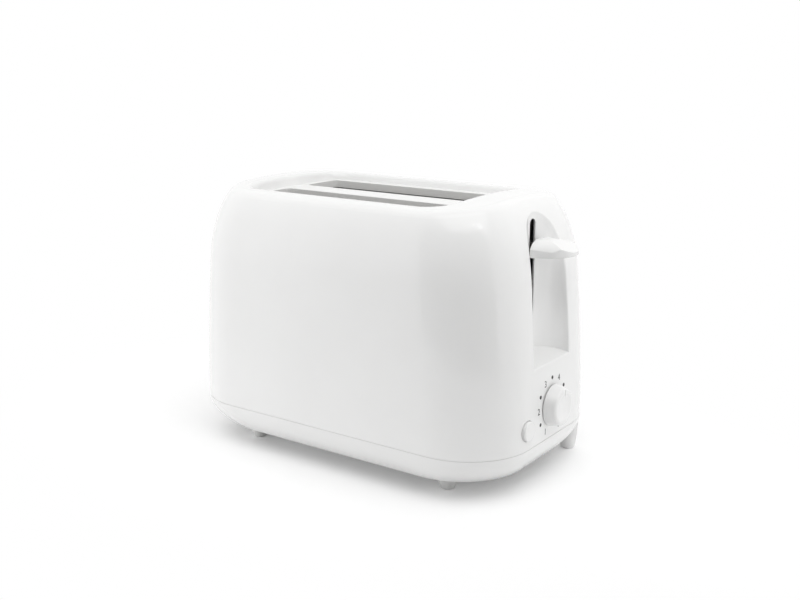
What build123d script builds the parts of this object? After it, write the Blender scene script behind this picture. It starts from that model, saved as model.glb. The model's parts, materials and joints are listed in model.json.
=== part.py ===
# Pop up toaster with two bread slots, built as separate pieces.
# Millimetres. X runs along the body with the lever end at +X, the near long side is at -Y, Z is up.
# Every piece is drawn around the middle of the body and moved by ORIGIN_SHIFT when it is written.

import math
import os

from build123d import *

# Body envelope; the height is at the middle of the two end crests
BODY_LENGTH = 250.0
BODY_WIDTH = 149.0
BODY_HEIGHT = 178.0
CORNER_RADIUS = 45.0
WALL = 2.5
SEAM_HEIGHT = 30.0
BASE_UNDERSIDE = 10.5

# How the sides lean and turn over into the crest, and how the crest is crowned across
END_LEAN = 10.8
SIDE_LEAN = 2.4
LEAN_POWER = 1.8
SHOULDER_LENGTH = 21.5
SHOULDER_WIDTH = 19.6
SHOULDER_HEIGHT = 50.0
SHOULDER_CORNER = 16.3
CROWN_RADIUS = 575.0
CROWN_SINK = 2.0
CROWN_EDGE = 9.0
BASE_TUCK = 11.3
SEAM_BREAK = 0.4
SEAM_LIP = 3.0
SEAM_LIP_WALL = 1.8
BODY_SECTIONS = 13
PROFILE_STEPS = 400
BASE_SECTIONS = 6

# Clearances
SLIDE_GAP = 0.3
SEAT_GAP = 0.2
RUNNING_GAP = 0.05
SCREW_GAP = 0.1
OVERCUT = 1.0
SKIN_MARGIN = 5.0

# Dish in the top and the deck under it
DISH_LENGTH = 158.0
DISH_WIDTH = 101.4
DISH_CORNER = 16.0
DISH_DEPTH = 7.6
DISH_SLOPE = 12.0
DISH_EDGE = 4.0
SKIRT_WALL = 2.0
DECK_MARGIN = 4.0
SHEET = 0.8

# Bread slots; the chamber's middle lies off the body's middle, away from the lever
CHAMBER_X = -6.0
SLOT_LENGTH = 146.0
SLOT_WIDTH = 32.0
SLOT_CORNER = 3.0
DIVIDER_WIDTH = 20.0
SLOT_FLANGE = 5.0

# Lever niche at the +X end
NICHE_DEPTH = 18.0
NICHE_HALF_WIDTH = 23.0
NICHE_FLOOR_GAP = 8.7
NICHE_FLOOR_DROP = 5.5
NICHE_EDGE = 1.2
LEVER_SLOT_WIDTH = 7.2
LEVER_SLOT_UNDER = 3.0
LEVER_SLOT_OVER = 6.6
SLOT_LIP = 0.8
SLOT_RELIEF = 3.0

# Lever and carriage
LEVER_BELOW_TOP = 29.8
LEVER_REACH = 12.0
LEVER_LENGTH = 25.2
LEVER_WIDTH = 24.0
LEVER_NOSE = 11.0
LEVER_ROOT_UP = 5.8
LEVER_ROOT_DOWN = 4.5
LEVER_TIP_UP = 0.3
LEVER_TIP_DOWN = 2.3
LEVER_BULGE = 2.4
LEVER_CROWN_HEIGHT = 9.0
LEVER_CROWN_FOOT = 2.5
LEVER_CROWN_MARGIN = 0.8
LEVER_EDGE = 0.8
RACK_BELOW_LEVER = 51.2
RACK_LOWEST = 41.0
CARRIAGE_LIFT = 8.0
TONGUE_HEIGHT = 6.0
TONGUE_THICKNESS = 1.6
TONGUE_BITE = 10.0
BRACKET_SHEET = 1.2
BRACKET_GAP = 2.4
BRACKET_TOP_MARGIN = 5.0
BRACKET_MARGIN = 1.0
RACK_WIDTH = 9.0
RACK_FLANGE = 5.0
RACK_TAIL = 3.5
RACK_HOLE = (11.0, 3.6)
RACK_WINDOW_GAP = 2.0
ROD_DIAMETER = 5.0
ROD_OFFSET = 12.0
ROD_FOOT = 27.0
LUG_SHEET = 1.2
SLIDER_LENGTH = 20.0
SLIDER_WALL = 2.2

# Heating chamber
CHAMBER_END_GAP = 6.0
PLATE_WIDTH = 116.0
PLATE_FOOT_HEIGHT = 24.0
PLATE_FOOT_WIDTH = 8.0
PLATE_TOP_WIDTH = 98.0
PLATE_STEP_UNDER_DECK = 31.6
CHASSIS_SCREW_INSET = 19.0
CHASSIS_SCREW_MARGIN = 3.0
CHASSIS_PAD = 10.0
REFLECTOR_OFFSET = 12.0
REFLECTOR_BOTTOM = 30.0
REFLECTOR_UNDER_DECK = 9.6
BEAD_DEPTH = 2.2
BEAD_WIDTH = 6.0
BEAD_END = 8.0
CARD_THICKNESS = 1.0
CARD_OFFSET = 5.5
CARD_BOTTOM = 34.0
CARD_UNDER_DECK = 13.6
CARD_EDGE_GAP = 7.0
CARD_TAB_HEIGHT = 16.0
RIBBON_WIDTH = 1.6
RIBBON_THICKNESS = 0.4
RIBBON_LOOPS = 12
RIBBON_MARGIN = 8.0
NOTCH_DEPTH = 2.4
NOTCH_HEIGHT = 2.8
NOTCH_SLACK = 0.6

# Bread guides
GUIDE_PIVOT_DIAMETER = 2.4
GUIDE_WIRE_DIAMETER = 1.8
GUIDE_PIVOT_HEIGHT = 38.0
GUIDE_UNDER_DECK = 18.6
GUIDE_SIDE_GAP = 2.6
GUIDE_WIRES = 7
GUIDE_END = 8.0
GUIDE_BAR_OVERHANG = 2.0
GUIDE_FLARE = 2.5
GUIDE_FLARE_HEIGHT = 9.0
GUIDE_BEND = 4.0

# Lift spring
SPRING_DIAMETER = 8.0
SPRING_WIRE = 1.0
SPRING_TURNS = 10
SPRING_LEG = 3.0
SPRING_BEND = 1.6
SPRING_TAB_RISE = 3.2
SPRING_TAB_MARGIN = 1.0

# Electromagnet and its keeper
MAGNET_WIDTH = 24.0
MAGNET_DEPTH = 12.0
MAGNET_HEIGHT = 28.0
MAGNET_YOKE = 5.0
MAGNET_LEG = 3.5
MAGNET_POLE = 7.0
MAGNET_OFFSET = 32.0
MAGNET_TOP = 62.0
COIL_MARGIN = 0.3
COIL_OVERHANG = 3.0
COIL_BELOW_POLE = 2.0
KEEPER_THICKNESS = 2.5
KEEPER_SHOULDER = 2.0

# Controls on the +X end
KNOB_HEIGHT = 50.3
KNOB_DIAMETER = 26.6
KNOB_FACE_DIAMETER = 23.4
KNOB_DEPTH = 8.0
KNOB_DISH = 0.7
KNOB_DISH_DIAMETER = 17.0
KNOB_EDGE = 2.0
KNOB_GAP = 0.3
KNOB_WALL = 2.0
KNOB_FACE_WALL = 3.5
KNOB_HUB_WALL = 2.0
POINTER_WIDTH = 1.0
POINTER_DEPTH = 0.35
SHAFT_DIAMETER = 6.0
SHAFT_HOLE_GAP = 1.0
SHAFT_END_WALL = 3.0
BUTTON_HEIGHT = 42.3
BUTTON_OFFSET = 31.3
BUTTON_DIAMETER = 12.6
BUTTON_STAND = 1.8
BUTTON_TRAVEL = 2.0
BUTTON_DOME = 0.8
BUTTON_FLANGE = 1.5
BUTTON_FLANGE_RIM = 1.2
BUTTON_STEM = 3.6
BOARD_GAP = 12.0
BOARD_THICKNESS = 1.6
BOARD_LOW = 27.0
BOARD_HIGH = 70.0
BOARD_NEAR = 50.0
BOARD_FAR = 42.0
BOARD_SCREW_INSET = 6.0
BOARD_POST_DIAMETER = 7.0
BOARD_POST_HOLE = 6.0
POT_SIZE = 17.0
POT_DEPTH = 7.5
POT_NECK_WALL = 1.5
POT_FLOOR = 2.0
SWITCH_SIZE = 7.0
SWITCH_DEPTH = 4.0
LEAF_HEIGHT = 60.0
LEAF_OFFSET = 28.0
LEAF_WIDTH = 4.0
LEAF_SPACING = 6.0
LEAF_THICKNESS = 0.5
LEAF_ARM = 14.0
LEAF_FOOT = 12.0
CONTACT_BLOCK_DEPTH = 7.0
CONTACT_BLOCK_HEIGHT = 11.0
CONTACT_BLOCK_BELOW = 3.0
CONTACT_MARGIN = 2.0
PUSHER_THICKNESS = 4.0
PUSHER_BACK = 12.0

# Crumb tray
TRAY_HALF_WIDTH = 42.0
TRAY_DEPTH = 5.5
TRAY_INNER_END = 74.0
TRAY_HANDLE_BACK = 104.0
TRAY_HANDLE_BELOW_SEAM = 5.0
TRAY_HANDLE_SIDE = 2.0
TRAY_HANDLE_WALL = 3.0
TRAY_HANDLE_CORE = 11.0
TRAY_GRIP_WIDTH = 44.0
TRAY_GRIP_RADIUS = 4.4
TRAY_GRIP_SINK = 1.8
TRAY_GRIP_RISE = 5.4

# Feet, gland and screws
FOOT_DIAMETER = 14.5
FOOT_PAD_DIAMETER = 9.0
FOOT_EDGE = 1.2
FOOT_PLUG_DIAMETER = 6.0
FOOT_PLUG_HEAD = 1.5
FRONT_FOOT_X = 78.2
FRONT_FOOT_Y = 47.0
LUG_DIAMETER = 22.0
LUG_PAD_DIAMETER = 9.0
LUG_EDGE = 1.2
LUG_INSET = 5.0
LUG_FLUSH = 0.4
LUG_TOP_BELOW_SEAM = 5.0
GLAND_X = 58.0
GLAND_HEIGHT = 20.5
GLAND_LENGTH = 11.0
GLAND_THICKNESS = 7.5
GLAND_RIM = 1.8
GLAND_RIM_THICKNESS = 1.6
GLAND_PAD_MARGIN = 0.5
GLAND_SINK = 2.4
GLAND_TAIL = 8.0
CORD_WIDTH = 6.4
CORD_THICKNESS = 3.8
SCREW_DIAMETER = 3.0
SCREW_HEAD = 6.2
SCREW_HEAD_HEIGHT = 2.0
SCREW_CROSS = (3.6, 0.9)
SCREW_BITE = 8.0
PLATE_SCREW_BITE = 2.5
BOARD_SCREW_BITE = 5.0
BOSS_DIAMETER = 8.0
BOSS_FOOT_DIAMETER = 9.0
BOSS_BELOW_SEAM = 8.0
BOSS_ABOVE_SEAM = 28.0
BOSS_BLIND = 10.0
BOSS_WEB = 2.4
BOSS_WEB_RISE = 6.0
BASE_SCREW_X = 92.0
BASE_SCREW_Y = 52.0
VENTS = 5
VENT_LENGTH = 18.0
VENT_WIDTH = 4.0
VENT_PITCH = 11.0
VENT_OFFSET = 16.0

# Places worked out from the sizes above
ORIGIN_SHIFT = -LEVER_REACH / 2.0
HALF_LENGTH = BODY_LENGTH / 2.0
HALF_WIDTH = BODY_WIDTH / 2.0
FORM_TOP = BODY_HEIGHT + CROWN_SINK
DECK_TOP = BODY_HEIGHT - DISH_DEPTH
DECK_UNDER = DECK_TOP - SHEET
SLOT_CENTRE = (DIVIDER_WIDTH + SLOT_WIDTH) / 2.0
SLOT_FAR = SLOT_CENTRE + SLOT_WIDTH / 2.0
PLATE_X = SLOT_LENGTH / 2.0 + CHAMBER_END_GAP
PLATE_OUT = PLATE_X + SHEET
FRONT_OUT = CHAMBER_X + PLATE_OUT
PLATE_STEP_HEIGHT = DECK_UNDER - PLATE_STEP_UNDER_DECK
REFLECTOR_TOP = DECK_UNDER - REFLECTOR_UNDER_DECK
CARD_HEIGHT = DECK_UNDER - CARD_UNDER_DECK - CARD_BOTTOM
GUIDE_TOP = DECK_UNDER - GUIDE_UNDER_DECK
FLOOR_TOP = BASE_UNDERSIDE + WALL
TRAY_HANDLE_LOW = FLOOR_TOP + SLIDE_GAP
TRAY_HANDLE_HIGH = SEAM_HEIGHT - TRAY_HANDLE_BELOW_SEAM
BOSS_TOP = SEAM_HEIGHT + BOSS_ABOVE_SEAM
BRACKET_X = FRONT_OUT + BRACKET_GAP
BRACKET_FACE = BRACKET_X + BRACKET_SHEET
LEVER_HEIGHT = BODY_HEIGHT - LEVER_BELOW_TOP
RACK_TOP = LEVER_HEIGHT - RACK_BELOW_LEVER
CARRIAGE_DROP = RACK_TOP - RACK_LOWEST
NICHE_BACK = HALF_LENGTH - NICHE_DEPTH
NICHE_FLOOR_BACK = LEVER_HEIGHT - CARRIAGE_DROP - NICHE_FLOOR_GAP
LEVER_TIP = HALF_LENGTH + LEVER_REACH
LEVER_ROOT = LEVER_TIP - LEVER_LENGTH
ROD_X = BRACKET_FACE + SLIDER_WALL + ROD_DIAMETER / 2.0
TOP_LUG = LEVER_HEIGHT + TONGUE_HEIGHT / 2.0 + CARRIAGE_LIFT + BRACKET_TOP_MARGIN
LUG_REACH = ROD_X + ROD_DIAMETER
CARD_Y = SLOT_FAR + CARD_OFFSET
REFLECTOR_Y = SLOT_FAR + REFLECTOR_OFFSET
GUIDE_OFFSET = SLOT_WIDTH / 2.0 - GUIDE_SIDE_GAP
BOARD_FRONT = HALF_LENGTH - WALL - BOARD_GAP
BOARD_BACK = BOARD_FRONT - BOARD_THICKNESS
KEEPER_LOW = MAGNET_TOP + SLIDE_GAP + CARRIAGE_DROP
MAGNET_X = BOARD_BACK - COIL_OVERHANG - MAGNET_DEPTH / 2.0
BRACKET_LOW = RACK_TOP - RACK_FLANGE
BRACKET_SHOULDER = KEEPER_LOW + KEEPER_THICKNESS + KEEPER_SHOULDER
SPRING_FOOT = BRACKET_SHOULDER + SPRING_TAB_RISE
BRACKET_TOP = LEVER_HEIGHT + TONGUE_HEIGHT / 2.0 + BRACKET_MARGIN
SLIDER_LOW = BRACKET_TOP - SLIDER_LENGTH - BRACKET_MARGIN
PUSHER_LOW = LEAF_HEIGHT + SLIDE_GAP + CARRIAGE_DROP
SKIN_CUT = HALF_LENGTH + SKIN_MARGIN


def block(x, y, z):
    """A box between two values on each axis."""
    middle = ((x[0] + x[1]) / 2.0, (y[0] + y[1]) / 2.0, (z[0] + z[1]) / 2.0)
    return Pos(*middle) * Box(x[1] - x[0], y[1] - y[0], z[1] - z[0])


def rod_z(x, y, z, diameter):
    """A round bar along Z between two heights."""
    return Pos(x, y, (z[0] + z[1]) / 2.0) * Cylinder(diameter / 2.0, z[1] - z[0])


def rod_x(x, y, z, diameter):
    """A round bar along X between two places."""
    return Pos((x[0] + x[1]) / 2.0, y, z) * Rot(0, 90, 0) * Cylinder(diameter / 2.0, x[1] - x[0])


def in_chamber(shape):
    """A piece drawn around the chamber's middle, set in its place in the body."""
    return Pos(CHAMBER_X, 0, 0) * shape


def body_turn(height):
    """How far the lean and the shoulder have gone at a height, each from 0 to 1."""
    lean = (max(0.0, height - SEAM_HEIGHT) / (FORM_TOP - SEAM_HEIGHT)) ** LEAN_POWER
    climb = max(0.0, height - FORM_TOP + SHOULDER_HEIGHT) / SHOULDER_HEIGHT
    return lean, 1.0 - math.sqrt(max(0.0, 1.0 - climb ** 2))


def wall_inset(height):
    """How far the flat part of an end wall has come in at a height."""
    lean, turn = body_turn(height)
    return END_LEAN * lean + SHOULDER_LENGTH * turn


def body_section(height, inset, level):
    """The body's outline at a height, drawn smaller by an inset and set at a level."""
    lean, turn = body_turn(height)
    half_length = HALF_LENGTH - END_LEAN * lean - SHOULDER_LENGTH * turn - inset
    half_width = HALF_WIDTH - SIDE_LEAN * lean - SHOULDER_WIDTH * turn - inset
    radius = CORNER_RADIUS - SHOULDER_CORNER * turn - inset
    return Pos(0, 0, level) * RectangleRounded(2 * half_length, 2 * half_width, radius)


def section_heights():
    """Heights at even steps along the end's profile, so that the loft stays free of waves."""
    shoulder = FORM_TOP - SHOULDER_HEIGHT
    steps = range(PROFILE_STEPS + 1)
    fine = [SEAM_HEIGHT + (shoulder - SEAM_HEIGHT) * step / PROFILE_STEPS for step in steps]
    fine += [shoulder + SHOULDER_HEIGHT * math.sin(math.pi / 2 * step / PROFILE_STEPS) for step in steps]
    insets = [wall_inset(height) for height in fine]
    run = [0.0]
    for place in range(1, len(fine)):
        run.append(run[-1] + math.hypot(fine[place] - fine[place - 1], insets[place] - insets[place - 1]))
    heights = []
    for step in range(BODY_SECTIONS):
        want = run[-1] * step / (BODY_SECTIONS - 1)
        nearest = min(range(len(run)), key=lambda place: abs(run[place] - want))
        heights.append(fine[nearest])
    return heights


def upper_form(inset):
    """The body above the seam as a full solid with a crowned top, smaller all round by an inset."""
    shrink = (FORM_TOP - inset - SEAM_HEIGHT) / (FORM_TOP - SEAM_HEIGHT)
    sections = []
    for height in section_heights():
        sections.append(body_section(height, inset, SEAM_HEIGHT + (height - SEAM_HEIGHT) * shrink))
    sides = loft(sections)
    crown = Rot(0, 90, 0) * Cylinder(CROWN_RADIUS - inset, 2 * BODY_LENGTH)
    crown = Pos(0, 0, BODY_HEIGHT - CROWN_RADIUS) * crown
    form = sides & crown
    return fillet(new_edges(sides, crown, combined=form), CROWN_EDGE - inset)


def base_section(height, inset, level):
    """The base's outline at a height under the seam."""
    tuck = BASE_TUCK * ((SEAM_HEIGHT - height) / (SEAM_HEIGHT - BASE_UNDERSIDE)) ** 2
    half_length = HALF_LENGTH - tuck - inset
    half_width = HALF_WIDTH - tuck - inset
    return Pos(0, 0, level) * RectangleRounded(2 * half_length, 2 * half_width, CORNER_RADIUS - inset)


def base_form(inset):
    """The body below the seam as a full solid, smaller all round by an inset."""
    depth = SEAM_HEIGHT - BASE_UNDERSIDE
    heights = [SEAM_HEIGHT - depth * step / (BASE_SECTIONS - 1) for step in range(BASE_SECTIONS)]
    shrink = (depth - inset) / depth
    sections = [base_section(h, inset, SEAM_HEIGHT - (SEAM_HEIGHT - h) * shrink) for h in heights]
    return loft(sections)


def seam_ring(outer, inner, low, high):
    """A ring that follows the seam outline between two insets."""
    ring = body_section(SEAM_HEIGHT, outer, low) - body_section(SEAM_HEIGHT, inner, low)
    return extrude(ring, high - low)


def niche_form(grow):
    """The lever niche as a solid, larger by a wall when the inside of the shell is cut."""
    tall = FORM_TOP + OVERCUT
    trough = Pos(HALF_LENGTH, 0, 0) * Ellipse(NICHE_DEPTH + grow, NICHE_HALF_WIDTH + grow)
    slope = NICHE_FLOOR_DROP / NICHE_DEPTH
    back = NICHE_BACK - grow - OVERCUT
    front = HALF_LENGTH + NICHE_DEPTH + grow + OVERCUT
    drop = grow * math.hypot(1.0, slope)
    back_floor = NICHE_FLOOR_BACK - drop - slope * (back - NICHE_BACK)
    front_floor = NICHE_FLOOR_BACK - drop - slope * (front - NICHE_BACK)
    corners = [(back, back_floor), (front, front_floor), (front, tall), (back, tall)]
    side = Plane.XZ * Polygon(*corners, align=None)
    wedge = extrude(side, NICHE_HALF_WIDTH + grow + OVERCUT, both=True)
    return extrude(trough, tall) & wedge


def dish_outline(height, grow):
    """The dish's outline at a height, larger by a wall where its skirt is drawn."""
    rise = (height - BODY_HEIGHT) * math.tan(math.radians(DISH_SLOPE)) + grow
    size = (DISH_LENGTH + 2 * rise, DISH_WIDTH + 2 * rise, DISH_CORNER + rise)
    return Pos(CHAMBER_X, 0, height) * RectangleRounded(*size)


def outer_shell():
    full = upper_form(0.0)
    niche = niche_form(0.0)
    outside = full - niche
    outside = fillet(new_edges(full, niche, combined=outside), NICHE_EDGE)
    dish = loft([dish_outline(DECK_TOP, 0.0), dish_outline(FORM_TOP, 0.0)])
    dished = outside - dish
    outside = fillet(new_edges(outside, dish, combined=dished), DISH_EDGE)
    inside = upper_form(WALL) + extrude(body_section(SEAM_HEIGHT, WALL, SEAM_HEIGHT), -OVERCUT)
    skirt = loft([dish_outline(DECK_TOP, SKIRT_WALL), dish_outline(FORM_TOP, SKIRT_WALL)])
    shell = outside - (inside - niche_form(WALL) - skirt)
    shell = shell - lever_slot()
    shell = shell - rod_x((BOARD_FRONT, SKIN_CUT), 0, KNOB_HEIGHT, SHAFT_DIAMETER + SHAFT_HOLE_GAP)
    button_hole = BUTTON_DIAMETER + 2 * SLIDE_GAP
    shell = shell - rod_x((BOARD_FRONT, SKIN_CUT), -BUTTON_OFFSET, BUTTON_HEIGHT, button_hole)
    for post in shell_posts():
        shell = shell + post
    return shell


def lever_slot():
    """The upright slot in the niche's back wall, with a wider relief behind its thin lip."""
    low = LEVER_HEIGHT - CARRIAGE_DROP - TONGUE_HEIGHT / 2 - LEVER_SLOT_UNDER
    high = LEVER_HEIGHT + CARRIAGE_LIFT + TONGUE_HEIGHT / 2 + LEVER_SLOT_OVER
    start = NICHE_BACK - WALL - OVERCUT
    plane = Plane(origin=(start, 0, (low + high) / 2), x_dir=(0, 1, 0), z_dir=(1, 0, 0))
    slot = extrude(plane * SlotOverall(high - low, LEVER_SLOT_WIDTH, rotation=90), WALL + 2 * OVERCUT)
    wide = LEVER_SLOT_WIDTH + 2 * SLOT_RELIEF
    tall = high - low + 2 * SLOT_LIP
    relief = extrude(plane * SlotOverall(tall, wide, rotation=90), WALL + OVERCUT - SLOT_LIP)
    return slot + relief


def shell_posts():
    """Posts inside the shell for the base screws and for the board screws."""
    limit = upper_form(WALL / 2)
    posts = []
    for x, y in base_screw_places():
        post = rod_z(x, y, (SEAM_HEIGHT - BOSS_BELOW_SEAM, BOSS_TOP), BOSS_DIAMETER)
        web_x = (x - BOSS_WEB / 2, x + BOSS_WEB / 2)
        web_y = sorted((y, math.copysign(HALF_WIDTH, y)))
        web = block(web_x, web_y, (SEAM_HEIGHT + BOSS_WEB_RISE, BOSS_TOP)) & limit
        hole = rod_z(x, y, (0, BOSS_TOP - BOSS_BLIND), SCREW_DIAMETER + SCREW_GAP)
        posts.append(post + web - hole)
    for y, z in board_screw_places():
        post = rod_x((BOARD_FRONT, HALF_LENGTH), y, z, BOARD_POST_DIAMETER) & limit
        hole = (BOARD_FRONT - OVERCUT, BOARD_FRONT + BOARD_POST_HOLE)
        posts.append(post - rod_x(hole, y, z, SCREW_DIAMETER + SCREW_GAP))
    return posts


def board_screw_places():
    high = BOARD_HIGH - BOARD_SCREW_INSET
    return [(-BOARD_NEAR + BOARD_SCREW_INSET, high), (BOARD_FAR - BOARD_SCREW_INSET, high)]


def chassis_screw_places():
    x = PLATE_X - CHASSIS_SCREW_INSET
    y = PLATE_WIDTH / 2 - CHASSIS_SCREW_MARGIN
    return [(CHAMBER_X + sx * x, sy * y) for sx in (-1, 1) for sy in (-1, 1)]


def base_screw_places():
    return [(sx * BASE_SCREW_X, sy * BASE_SCREW_Y) for sx in (-1, 1) for sy in (-1, 1)]


def tray_mouth(gap):
    """The space in the base's end wall that the tray handle fills, larger by a gap."""
    reach = TRAY_HALF_WIDTH + TRAY_HANDLE_SIDE + gap
    x = (-SKIN_CUT, -TRAY_HANDLE_BACK)
    return block(x, (-reach, reach), (TRAY_HANDLE_LOW - gap, TRAY_HANDLE_HIGH + gap))


def lug_place(side):
    """Where a far foot stands: under the rounded corner, a little inside the seam's outline."""
    reach = (CORNER_RADIUS - LUG_INSET) * math.sqrt(0.5)
    return side * (HALF_LENGTH - CORNER_RADIUS + reach), HALF_WIDTH - CORNER_RADIUS + reach


def lug_foot(side):
    """One of the two far feet, grown out of the base's lower corner and flush with its outline."""
    x, y = lug_place(side)
    tall = SEAM_HEIGHT - LUG_TOP_BELOW_SEAM
    peg = Pos(x, y, tall / 2) * Cone(LUG_PAD_DIAMETER / 2, LUG_DIAMETER / 2, tall)
    peg = fillet(peg.edges().sort_by(Axis.Z)[0], LUG_EDGE)
    peg = peg & extrude(body_section(SEAM_HEIGHT, LUG_FLUSH, 0.0), SEAM_HEIGHT)
    return peg - base_form(WALL / 2)


def base():
    tub = base_form(0.0) - base_form(WALL)
    tub = tub - seam_ring(-OVERCUT, SEAM_BREAK, SEAM_HEIGHT - SEAM_BREAK, SEAM_HEIGHT + OVERCUT)
    lip_in = WALL + SEAT_GAP + SEAM_LIP_WALL
    tub = tub + seam_ring(WALL / 2, lip_in, SEAM_HEIGHT - SEAM_LIP, SEAM_HEIGHT)
    tub = tub + seam_ring(WALL + SEAT_GAP, lip_in, SEAM_HEIGHT - OVERCUT, SEAM_HEIGHT + SEAM_LIP)
    for side in (-1, 1):
        tub = tub + lug_foot(side)
    for x, y in base_screw_places():
        foot = (FLOOR_TOP - OVERCUT, SEAM_HEIGHT - BOSS_BELOW_SEAM)
        tub = tub + rod_z(x, y, foot, BOSS_FOOT_DIAMETER)
    half = CHASSIS_PAD / 2
    pad_z = (FLOOR_TOP - OVERCUT, PLATE_FOOT_HEIGHT)
    for x, y in chassis_screw_places():
        tub = tub + block((x - half, x + half), (y - half, y + half), pad_z)
    tub = tub + gland_pad(-GLAND_TAIL, 0.0) - gland_pad(0.0, GLAND_TAIL)
    snug = 2 * SCREW_GAP
    tub = tub - gland_bar(GLAND_LENGTH + snug, GLAND_THICKNESS + snug, -GLAND_TAIL - OVERCUT, GLAND_TAIL)
    tub = tub - tray_mouth(SLIDE_GAP)
    for x, y in base_screw_places() + chassis_screw_places():
        tub = tub - rod_z(x, y, (0, SEAM_HEIGHT), SCREW_DIAMETER + 2 * SCREW_GAP)
        head = (BASE_UNDERSIDE - OVERCUT, BASE_UNDERSIDE + SCREW_HEAD_HEIGHT)
        tub = tub - rod_z(x, y, head, SCREW_HEAD + 2 * SEAT_GAP)
    for x in (-FRONT_FOOT_X, FRONT_FOOT_X):
        tub = tub - rod_z(x, -FRONT_FOOT_Y, (0, FLOOR_TOP + OVERCUT), FOOT_PLUG_DIAMETER + 2 * SCREW_GAP)
    for row in range(VENTS):
        y = (row - (VENTS - 1) / 2) * VENT_PITCH
        oval = Pos(FRONT_OUT + VENT_OFFSET, y, 0) * SlotOverall(VENT_LENGTH, VENT_WIDTH)
        tub = tub - extrude(oval, FLOOR_TOP + OVERCUT)
    return tub


def gland_face():
    """Where the flat pad for the gland lies on the far side."""
    return HALF_WIDTH - GLAND_SINK


def gland_pad(start, stop):
    """A block over the gland's pad, from start to stop past its face."""
    reach = GLAND_LENGTH / 2 + GLAND_RIM + GLAND_PAD_MARGIN
    tall = GLAND_THICKNESS / 2 + GLAND_RIM + GLAND_PAD_MARGIN
    y = (gland_face() + start, gland_face() + stop)
    return block((GLAND_X - reach, GLAND_X + reach), y, (GLAND_HEIGHT - tall, GLAND_HEIGHT + tall))


def gland_bar(length, thickness, start, stop):
    """A flat oval bar along Y at the gland, from start to stop past the pad's face."""
    plane = Plane(origin=(GLAND_X, gland_face() + start, GLAND_HEIGHT), x_dir=(-1, 0, 0), z_dir=(0, 1, 0))
    return extrude(plane * SlotOverall(length, thickness), stop - start)


def cord_gland():
    rim_size = (GLAND_LENGTH + 2 * GLAND_RIM, GLAND_THICKNESS + 2 * GLAND_RIM)
    rim = gland_bar(*rim_size, 0.0, GLAND_RIM_THICKNESS)
    body = gland_bar(GLAND_LENGTH, GLAND_THICKNESS, -GLAND_TAIL, GLAND_RIM_THICKNESS / 2)
    bore = gland_bar(CORD_WIDTH, CORD_THICKNESS, -GLAND_TAIL - OVERCUT, GLAND_RIM_THICKNESS + OVERCUT)
    return rim + body - bore


def front_feet():
    feet = []
    for x in (-FRONT_FOOT_X, FRONT_FOOT_X):
        pad = Cone(FOOT_PAD_DIAMETER / 2, FOOT_DIAMETER / 2, BASE_UNDERSIDE)
        pad = Pos(x, -FRONT_FOOT_Y, BASE_UNDERSIDE / 2) * fillet(pad.edges().sort_by(Axis.Z)[0], FOOT_EDGE)
        plug_z = (BASE_UNDERSIDE - OVERCUT, FLOOR_TOP + FOOT_PLUG_HEAD)
        plug = rod_z(x, -FRONT_FOOT_Y, plug_z, FOOT_PLUG_DIAMETER)
        feet.append(pad + plug)
    return feet


def slot_deck():
    deck = extrude(dish_outline(DECK_TOP, DECK_MARGIN), -SHEET)
    for side in (-1, 1):
        place = Pos(CHAMBER_X, side * SLOT_CENTRE, DECK_TOP - SLOT_FLANGE)
        collar = RectangleRounded(SLOT_LENGTH + 2 * SHEET, SLOT_WIDTH + 2 * SHEET, SLOT_CORNER + SHEET)
        deck = deck + extrude(place * collar, SLOT_FLANGE)
    for side in (-1, 1):
        place = Pos(CHAMBER_X, side * SLOT_CENTRE, DECK_TOP - SLOT_FLANGE - OVERCUT)
        slot = place * RectangleRounded(SLOT_LENGTH, SLOT_WIDTH, SLOT_CORNER)
        deck = deck - extrude(slot, SLOT_FLANGE + 2 * OVERCUT)
    return deck


def card_places():
    return [-CARD_Y, 0.0, CARD_Y]


def card_tab_heights():
    return [CARD_BOTTOM + CARD_HEIGHT * share for share in (0.25, 0.75)]


def guide_places():
    """Y of the four guide pivots with the side of its slot that each one is on."""
    places = []
    for slot in (-1, 1):
        for side in (-1, 1):
            places.append((slot * SLOT_CENTRE + side * GUIDE_OFFSET, side))
    return places


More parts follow.
